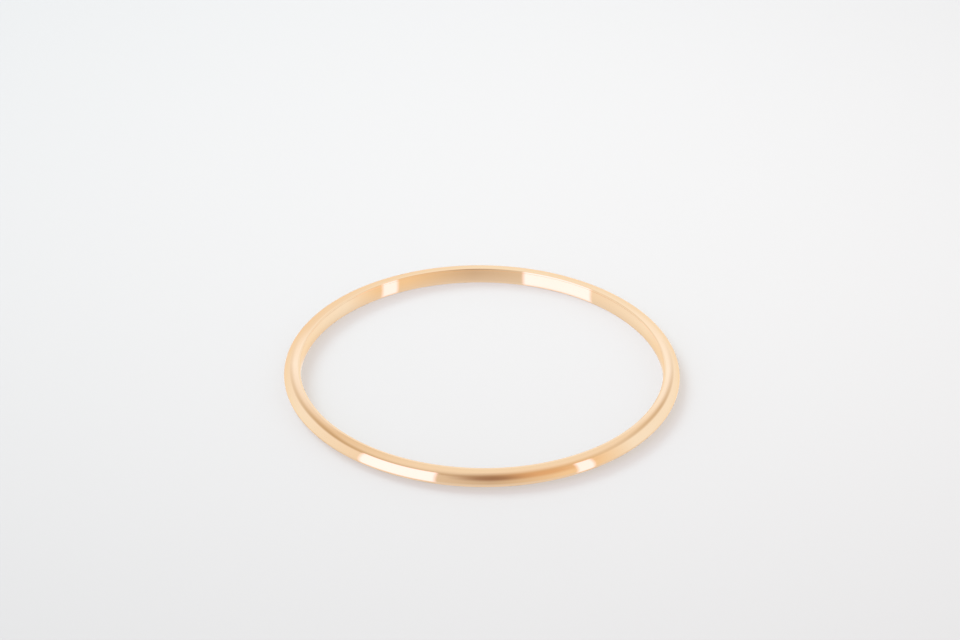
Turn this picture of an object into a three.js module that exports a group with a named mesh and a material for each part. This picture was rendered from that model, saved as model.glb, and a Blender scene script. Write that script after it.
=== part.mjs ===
// A plain, thin, polished gold stacking ring, lying flat on its side.
// Units are millimetres and +Z is up. The origin is the centre of the finger hole,
// at the level of the surface that the ring rests on.

import * as THREE from "three";

// Driving dimensions
const INNER_DIAMETER = 17.3;
const BAND_THICKNESS = 0.82;
const BAND_HEIGHT = 0.8;

// The band bulges a little inside, is domed outside, and has a narrow flat between the two on each side.
const INNER_BULGE = 0.08;
const SIDE_FLAT = 0.08;

// Facets across the outer dome, across the inner bulge, and along the band
const DOME_STEPS = 14;
const BULGE_STEPS = 8;
const STEPS_AROUND = 160;

// Polished 14 carat yellow gold
const GOLD_COLOUR = 0xe9bd80;
const GOLD_ROUGHNESS = 0.12;
const GOLD_METALNESS = 1.0;

const INNER_RADIUS = INNER_DIAMETER / 2;
const DOME_DEPTH = BAND_THICKNESS - INNER_BULGE - SIDE_FLAT;

// Half an oval of the section, as (radius, height) points, that starts at a given number of quarter turns.
function halfOval(centreRadius, reach, firstQuarter, steps) {
  const rise = BAND_HEIGHT / 2;
  const points = [];
  for (let step = 0; step <= steps; step += 1) {
    const angle = (firstQuarter * Math.PI) / 2 + (Math.PI * step) / steps;
    points.push(new THREE.Vector2(centreRadius + reach * Math.cos(angle), rise + rise * Math.sin(angle)));
  }
  return points;
}

// The closed outline of the band's section, with its lower side flat at height 0.
function sectionOutline() {
  const bulgeCentre = INNER_RADIUS + INNER_BULGE;
  const domeCentre = bulgeCentre + SIDE_FLAT;
  const outline = [
    ...halfOval(domeCentre, DOME_DEPTH, -1, DOME_STEPS),
    ...halfOval(bulgeCentre, INNER_BULGE, 1, BULGE_STEPS),
  ];
  return [...outline, outline[0].clone()];
}

// The band is one solid of revolution. A lathe turns about Y, so it is laid over onto Z.
function ringBand() {
  const geometry = new THREE.LatheGeometry(sectionOutline(), STEPS_AROUND);
  geometry.rotateX(Math.PI / 2);
  const gold = new THREE.MeshStandardMaterial({
    color: GOLD_COLOUR,
    roughness: GOLD_ROUGHNESS,
    metalness: GOLD_METALNESS,
  });
  const band = new THREE.Mesh(geometry, gold);
  band.name = "ring_band";
  return band;
}

const ring = new THREE.Group();
ring.add(ringBand());

export default ring;
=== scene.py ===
"""Looks for a plain polished gold ring that lies on a pale surface.

Everything is in metres, +Z up, in the frame of the solid model: the origin is the centre of the finger hole,
at the level of the surface.
"""

import math

import bpy
import numpy as np
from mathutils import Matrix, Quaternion, Vector


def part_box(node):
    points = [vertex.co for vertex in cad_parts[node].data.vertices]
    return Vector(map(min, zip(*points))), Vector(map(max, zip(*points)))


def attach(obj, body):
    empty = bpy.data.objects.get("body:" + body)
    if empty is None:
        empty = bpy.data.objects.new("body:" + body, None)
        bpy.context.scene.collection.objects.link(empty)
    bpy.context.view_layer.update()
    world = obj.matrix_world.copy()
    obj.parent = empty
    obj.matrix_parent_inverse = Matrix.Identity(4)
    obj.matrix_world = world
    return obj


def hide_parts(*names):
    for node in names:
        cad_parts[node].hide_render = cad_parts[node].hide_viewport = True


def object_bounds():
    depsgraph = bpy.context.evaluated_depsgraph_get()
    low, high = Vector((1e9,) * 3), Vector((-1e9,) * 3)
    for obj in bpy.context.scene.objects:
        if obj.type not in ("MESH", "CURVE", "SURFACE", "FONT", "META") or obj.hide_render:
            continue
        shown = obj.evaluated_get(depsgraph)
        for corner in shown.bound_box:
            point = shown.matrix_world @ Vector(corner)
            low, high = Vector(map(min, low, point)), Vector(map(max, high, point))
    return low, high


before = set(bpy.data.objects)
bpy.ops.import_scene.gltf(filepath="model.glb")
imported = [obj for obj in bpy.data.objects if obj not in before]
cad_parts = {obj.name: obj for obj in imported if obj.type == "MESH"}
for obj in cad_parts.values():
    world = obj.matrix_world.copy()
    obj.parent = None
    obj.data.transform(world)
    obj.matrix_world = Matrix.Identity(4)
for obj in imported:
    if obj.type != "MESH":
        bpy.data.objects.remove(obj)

CAD_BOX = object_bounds()
MM = 0.001
RING_NODE = "ring_band"

# The band's section bulges a little inside, is domed outside, and has a narrow flat between on each side
INNER_BULGE = 0.08 * MM
SIDE_FLAT = 0.08 * MM

# Mesh steps along the band, across its outer dome and across its inner bulge
STEPS_AROUND = 720
DOME_STEPS = 56
BULGE_STEPS = 36

# Hand finishing leaves the band slightly uneven: the share of its section lost, and waves round the ring
UNEVEN_SHARE = 0.015
UNEVEN_WAVES = (3, 7, 11, 19)

# Viewpoint: height above the surface as an angle, distance to the ring's centre, and the camera's roll
VIEW_ELEVATION = math.radians(33.1)
VIEW_DISTANCE = 160 * MM
VIEW_ROLL = 0.01

# Where the ring's centre falls in the picture, and the picture's scale there
PICTURE_WIDTH = 960
PICTURE_HEIGHT = 640
CENTRE_PIXEL_X = 482.0
CENTRE_PIXEL_Y = 370.8
PIXELS_PER_MM = 20.88
SENSOR_WIDTH_MM = 36

# Gold, as reflected colour in linear light
GOLD = (0.965, 0.730, 0.500)
GOLD_DEEP = (0.950, 0.700, 0.460)
GOLD_EDGE_TINT = (1.0, 0.84, 0.66)

# Finish of the gold: its colour clouds, polishing lines round and across it, their gloss and their relief
CLOUD_SCALE = 420.0
LINE_STRETCH = (40.0, 60.0, 1.0)
SMOOTHEST = 0.02
ROUGHEST = 0.06
RELIEF_STRENGTH = 0.05
RELIEF_DEPTH = 0.002 * MM

# Tones of the studio that the ring mirrors
DAYLIGHT = (1.45, 1.34, 1.75)
WHITE = (1.07, 1.16, 1.34)
PALE = (0.99, 1.03, 1.07)
CREAM = (0.95, 0.91, 0.86)
ORANGE = (0.94, 0.79, 0.60)
TAN = (0.85, 0.75, 0.63)
SHADE = (0.82, 0.81, 0.83)
GLOW = (0.76, 0.48, 0.27)
CORNICE = (0.68, 0.57, 0.44)
BROWN = (0.66, 0.57, 0.49)
DARK = (0.32, 0.20, 0.14)

# The studio is laid out in degrees: turns run to the left of its front, and leans run up
TURNS = (-180, 180)
LEANS = (-90, 90)

# Right and left side of each window, as turns, and the width of its soft edge
NARROW_WINDOW = (-34.3, -28.2)
WIDE_WINDOW = (13.0, 37.8)
WINDOW_EDGE = 0.4
NARROW_WINDOW_SHARE = 0.9

# How a soft patch of the studio fades, as distance from its middle and share left
PATCH_FADE = [(0.0, 1.0), (0.3, 0.85), (0.7, 0.25), (1.0, 0.0)]

# The surface that the ring lies on
FLOOR = (0.361, 0.361, 0.360)
FLOOR_ROUGHNESS = 0.9
FLOOR_REACH = 2.0


def new_object(name, data):
    """Puts a mesh, a light or a camera into the scene."""
    piece = bpy.data.objects.new(name, data)
    bpy.context.scene.collection.objects.link(piece)
    return piece


def band_sizes():
    """Inner radius, outer radius and height of the band, from the solid model."""
    low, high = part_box(RING_NODE)
    corners = [vertex.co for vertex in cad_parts[RING_NODE].data.vertices]
    inner_radius = min(math.hypot(corner.x, corner.y) for corner in corners)
    return inner_radius, high[0], high[2] - low[2]


def half_oval(centre_radius, reach, height, first_quarter, steps):
    """Half an oval of the section, as radius and height, that starts at a given number of quarter turns."""
    angle = first_quarter * np.pi / 2 + np.linspace(0, np.pi, steps + 1)
    rise = height / 2
    return np.stack([centre_radius + reach * np.cos(angle), rise + rise * np.sin(angle)], axis=-1)


def section():
    """Points round the band's section, as radius and height, and the middle that the section shrinks to."""
    inner_radius, outer_radius, height = band_sizes()
    bulge_centre = inner_radius + INNER_BULGE
    dome_centre = bulge_centre + SIDE_FLAT
    dome = half_oval(dome_centre, outer_radius - dome_centre, height, -1, DOME_STEPS)
    bulge = half_oval(bulge_centre, INNER_BULGE, height, 1, BULGE_STEPS)
    middle = np.array([(inner_radius + outer_radius) / 2, height / 2])
    return np.concatenate([dome, bulge]), middle


def unevenness(around):
    """The share of the section that is lost at each place round the ring, from 0 to UNEVEN_SHARE."""
    wave = sum(np.sin(count * around + count) for count in UNEVEN_WAVES) / len(UNEVEN_WAVES)
    return UNEVEN_SHARE * (0.5 + 0.5 * wave)


def band_points():
    """Points of the band as an array of places round it by places across it by coordinates."""
    outline, middle = section()
    around = np.linspace(0, 2 * np.pi, STEPS_AROUND, endpoint=False)[:, None]
    kept = 1 - unevenness(around)
    radius = middle[0] + (outline[:, 0] - middle[0]) * kept
    level = middle[1] + (outline[:, 1] - middle[1]) * kept
    return np.stack([radius * np.cos(around), radius * np.sin(around), level], axis=-1)


def band_mesh():
    """A closed mesh of the band, smooth shaded, with a UV map that runs round it and across it."""
    points = band_points()
    count_around, count_across = points.shape[:2]
    step_around, step_across = np.meshgrid(np.arange(count_around), np.arange(count_across), indexing="ij")
    corners = [(0, 0), (1, 0), (1, 1), (0, 1)]
    faces = np.stack([
        ((step_around + i) % count_around) * count_across + (step_across + j) % count_across
        for i, j in corners
    ], axis=-1).reshape(-1, 4)
    mesh = bpy.data.meshes.new("ring")
    mesh.from_pydata(points.reshape(-1, 3).tolist(), [], faces.tolist())
    places = np.stack([
        np.stack([(step_around + i) / count_around, (step_across + j) / count_across], axis=-1)
        for i, j in corners
    ], axis=2).reshape(-1)
    uv_map = mesh.uv_layers.new(name="around_across")
    uv_map.data.foreach_set("uv", places.astype(np.float32))
    mesh.polygons.foreach_set("use_smooth", np.ones(len(faces), dtype=bool))
    mesh.update()
    return mesh


def linked(tree, kind, socket_values, **settings):
    """Adds a node, sets its settings, and fills its inputs with values or links."""
    node = tree.nodes.new(kind)
    for name, value in settings.items():
        setattr(node, name, value)
    for socket, value in socket_values.items():
        if isinstance(value, bpy.types.NodeSocket):
            tree.links.new(value, node.inputs[socket])
        else:
            node.inputs[socket].default_value = value
    return node


def calculate(tree, operation, first, second=0.0):
    """One step of arithmetic in a node tree."""
    return linked(tree, "ShaderNodeMath", {0: first, 1: second}, operation=operation).outputs[0]


def ramp(tree, value, stops, low, high):
    """A colour ramp over a value that runs from low to high, with its stops in that value's own units."""
    place = linked(tree, "ShaderNodeMapRange", {"Value": value, "From Min": low, "From Max": high})
    node = linked(tree, "ShaderNodeValToRGB", {"Fac": place.outputs[0]})
    elements = node.color_ramp.elements
    while len(elements) < len(stops):
        elements.new(1.0)
    for element, (stop, colour) in zip(elements, stops):
        element.position = (stop - low) / (high - low)
        element.color = (*colour, 1.0) if isinstance(colour, tuple) else (colour, colour, colour, 1.0)
    return node.outputs["Color"]


def mixed(tree, factor, first, second):
    """A colour between two colours, each a value or a link."""
    node = linked(tree, "ShaderNodeMix", {"Factor": factor}, data_type="RGBA")
    sockets = [socket for socket in node.inputs if socket.type == "RGBA"]
    for socket, colour in zip(sockets, (first, second)):
        if isinstance(colour, bpy.types.NodeSocket):
            tree.links.new(colour, socket)
        else:
            socket.default_value = (*colour, 1.0)
    return [socket for socket in node.outputs if socket.type == "RGBA"][0]


def calculate_vector(tree, operation, first, second=(0.0, 0.0, 0.0)):
    """One step of arithmetic on vectors or colours in a node tree."""
    return linked(tree, "ShaderNodeVectorMath", {0: first, 1: second}, operation=operation).outputs


def gold_material():
    """Polished yellow gold, with faint colour clouds and fine polishing lines along the band."""
    material = bpy.data.materials.new("polished_gold")
    material.use_nodes = True
    tree = material.node_tree
    shader = tree.nodes["Principled BSDF"]
    shader.inputs["Metallic"].default_value = 1.0
    shader.inputs["Specular Tint"].default_value = (*GOLD_EDGE_TINT, 1.0)
    place = linked(tree, "ShaderNodeTexCoord", {}).outputs

    clouds = linked(tree, "ShaderNodeTexNoise", {
        "Vector": place["Object"], "Scale": CLOUD_SCALE, "Detail": 3.0,
    })
    tree.links.new(mixed(tree, clouds.outputs["Fac"], GOLD, GOLD_DEEP), shader.inputs["Base Color"])

    drawn = linked(tree, "ShaderNodeMapping", {"Vector": place["UV"], "Scale": LINE_STRETCH})
    lines = linked(tree, "ShaderNodeTexNoise", {"Vector": drawn.outputs[0], "Scale": 1.0, "Detail": 6.0})
    gloss = linked(tree, "ShaderNodeMapRange", {
        "Value": lines.outputs["Fac"], "From Min": 0.3, "From Max": 0.7,
        "To Min": SMOOTHEST, "To Max": ROUGHEST,
    })
    tree.links.new(gloss.outputs[0], shader.inputs["Roughness"])
    relief = linked(tree, "ShaderNodeBump", {
        "Height": lines.outputs["Fac"], "Strength": RELIEF_STRENGTH, "Distance": RELIEF_DEPTH,
    })
    tree.links.new(relief.outputs[0], shader.inputs["Normal"])
    return material


def make_ring():
    """The ring stands for the plain solid of the band."""
    ring = new_object("ring", band_mesh())
    ring.data.materials.append(gold_material())
    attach(ring, "root")
    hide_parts(RING_NODE)


def floor_material():
    """A plain pale surface without gloss."""
    material = bpy.data.materials.new("pale_surface")
    material.use_nodes = True
    shader = material.node_tree.nodes["Principled BSDF"]
    shader.inputs["Base Color"].default_value = (*FLOOR, 1.0)
    shader.inputs["Roughness"].default_value = FLOOR_ROUGHNESS
    shader.inputs["Specular IOR Level"].default_value = 0.0
    return material


def make_floor():
    """A wide, plain, pale surface."""
    corners = [(x * FLOOR_REACH, y * FLOOR_REACH, 0) for x, y in [(-1, -1), (1, -1), (1, 1), (-1, 1)]]
    mesh = bpy.data.meshes.new("floor")
    mesh.from_pydata(corners, [], [(0, 1, 2, 3)])
    floor = new_object("floor", mesh)
    mesh.materials.append(floor_material())
    floor.visible_glossy = False


def make_light(name, place_mm, size_mm, energy, colour, casts_shadow):
    """A soft square light that faces down and isn't mirrored in the ring."""
    lamp = bpy.data.lights.new(name, "AREA")
    lamp.size = size_mm * MM
    lamp.energy = energy
    lamp.color = colour
    lamp.use_shadow = casts_shadow
    light = new_object(name, lamp)
    light.location = Vector(place_mm) * MM
    light.visible_camera = False
    light.visible_glossy = False


def make_lights():
    """A cool key light on the far left, and a warm fill over the ring that falls off towards the corners."""
    make_light("key", place_mm=(-230, 192, 240), size_mm=240, energy=1.40,
               colour=(0.65, 0.92, 1.00), casts_shadow=True)
    make_light("fill", place_mm=(10, 18, 125), size_mm=20, energy=0.209,
               colour=(1.00, 0.97, 0.95), casts_shadow=False)


def towards_camera():
    """Unit vector from the ring's centre towards the camera."""
    return Vector((0.0, -math.cos(VIEW_ELEVATION), math.sin(VIEW_ELEVATION)))


def facing(tree):
    """For each direction of the room, the turn and lean of the face that mirrors it to the viewpoint."""
    direction = linked(tree, "ShaderNodeTexCoord", {}).outputs["Generated"]
    middle = calculate_vector(tree, "ADD", direction, towards_camera())["Vector"]
    face = calculate_vector(tree, "NORMALIZE", middle)["Vector"]
    parts = linked(tree, "ShaderNodeSeparateXYZ", {0: face}).outputs
    left = calculate(tree, "MULTIPLY", parts["X"], -1.0)
    near = calculate(tree, "MULTIPLY", parts["Y"], -1.0)
    turn = calculate(tree, "DEGREES", calculate(tree, "ARCTAN2", left, near))
    lean = calculate(tree, "DEGREES", calculate(tree, "ARCSINE", parts["Z"]))
    return turn, lean


def wall_colour(tree, turn):
    """Pale walls that are warm on both sides of the dark front of the room."""
    return ramp(tree, turn, [
        (-50, PALE), (-36, ORANGE), (-25, ORANGE), (-3, BROWN),
        (38, CREAM), (65, PALE), (110, CREAM), (180, PALE),
    ], *TURNS)


def ceiling_colour(tree, turn):
    """A ceiling that is white over the two sides of the room and warm over its front."""
    return ramp(tree, turn, [
        (-120, PALE), (-88, WHITE), (-60, CREAM), (20, CREAM),
        (55, TAN), (90, WHITE), (108, CREAM), (180, PALE),
    ], *TURNS)


def room_colour(tree, turn, lean):
    """The walls, between the shaded surface below and the ceiling, with its pale middle, above."""
    below = ramp(tree, lean, [(-30, 1.0), (-12, 0.7), (6, 0.0)], *LEANS)
    above = ramp(tree, lean, [(60, 0.0), (76, 1.0)], *LEANS)
    middle = ramp(tree, lean, [(86.5, 0.0), (89, 1.0)], *LEANS)
    room = mixed(tree, above, wall_colour(tree, turn), ceiling_colour(tree, turn))
    room = mixed(tree, middle, room, PALE)
    return mixed(tree, below, room, SHADE)


def cornice_shade(tree, turn, lean):
    """The dark line between the walls and the ceiling, which is lowest straight in front of the ring."""
    level = ramp(tree, turn, [(-60, 70.0), (0, 56.0), (45, 63.0), (60, 68.0)], *TURNS)
    over = calculate(tree, "SUBTRACT", lean, level)
    across = ramp(tree, over, [(-6, 0.0), (-1, 1.0), (3, 1.0), (11, 0.0)], *TURNS)
    along = ramp(tree, turn, [(-105, 0.0), (-70, 0.9), (-40, 0.4), (0, 0.3), (50, 1.0), (105, 0.0)], *TURNS)
    share = calculate(tree, "MULTIPLY", across, along)
    return mixed(tree, share, (1.0, 1.0, 1.0), CORNICE)


def soft_patch(tree, turn, lean, centre, reach, strength):
    """The share of a soft oval patch, with its centre and reach as turn and lean."""
    spot = linked(tree, "ShaderNodeCombineXYZ", {"X": turn, "Y": lean}).outputs[0]
    offset = calculate_vector(tree, "SUBTRACT", spot, (*centre, 0.0))["Vector"]
    scaled = calculate_vector(tree, "DIVIDE", offset, (*reach, 1.0))["Vector"]
    distance = calculate_vector(tree, "LENGTH", scaled)["Value"]
    return ramp(tree, distance, [(place, share * strength) for place, share in PATCH_FADE], 0, 1)


def with_patches(tree, turn, lean, room):
    """The room with a warm glow beside a dark gap at the front."""
    glow = soft_patch(tree, turn, lean, centre=(-16.0, 52.0), reach=(24.0, 26.0), strength=0.85)
    gap = soft_patch(tree, turn, lean, centre=(-3.0, 49.0), reach=(14.0, 26.0), strength=0.9)
    return mixed(tree, gap, mixed(tree, glow, room, GLOW), DARK)


def window_share(tree, turn, lean):
    """Where the room has windows: a narrow one on the right and a wide one on the left."""
    stops = []
    for (right, left), share in [(NARROW_WINDOW, NARROW_WINDOW_SHARE), (WIDE_WINDOW, 1.0)]:
        stops += [(right, 0.0), (right + WINDOW_EDGE, share), (left - WINDOW_EDGE, share), (left, 0.0)]
    openings = ramp(tree, turn, stops, *TURNS)
    between = ramp(tree, lean, [(-22, 0.0), (-8, 1.0), (61, 1.0), (63, 0.0)], *LEANS)
    return calculate(tree, "MULTIPLY", openings, between)


def make_world():
    """The studio round the ring, drawn in the directions that the ring's faces mirror."""
    world = bpy.data.worlds.new("studio")
    bpy.context.scene.world = world
    world.use_nodes = True
    tree = world.node_tree
    turn, lean = facing(tree)
    shade = cornice_shade(tree, turn, lean)
    room = calculate_vector(tree, "MULTIPLY", room_colour(tree, turn, lean), shade)["Vector"]
    room = with_patches(tree, turn, lean, room)
    studio = mixed(tree, window_share(tree, turn, lean), room, DAYLIGHT)
    tree.links.new(studio, tree.nodes["Background"].inputs["Color"])


def make_camera():
    """The camera stands at the viewing angle, with the ring's centre at its place in the picture."""
    ring_centre = Vector((0.0, 0.0, CAD_BOX[1][2] / 2))
    camera_data = bpy.data.cameras.new("camera")
    camera = new_object("camera", camera_data)
    focal_pixels = PIXELS_PER_MM * VIEW_DISTANCE / MM
    camera_data.sensor_width = SENSOR_WIDTH_MM
    camera_data.lens = SENSOR_WIDTH_MM * focal_pixels / PICTURE_WIDTH
    camera_data.clip_start = 1 * MM
    camera.location = ring_centre + VIEW_DISTANCE * towards_camera()
    off_axis = Vector((
        (CENTRE_PIXEL_X - PICTURE_WIDTH / 2) / focal_pixels,
        (PICTURE_HEIGHT / 2 - CENTRE_PIXEL_Y) / focal_pixels,
        -1.0,
    ))
    ahead = Vector((0.0, 0.0, -1.0))
    aim = (-towards_camera()).to_track_quat("-Z", "Y")
    level = Quaternion(ahead, -VIEW_ROLL)
    camera.rotation_mode = "QUATERNION"
    camera.rotation_quaternion = aim @ level @ off_axis.rotation_difference(ahead)
    bpy.context.scene.camera = camera


make_camera()
make_ring()
make_floor()
make_lights()
make_world()
bpy.context.scene.view_settings.view_transform = "Standard"
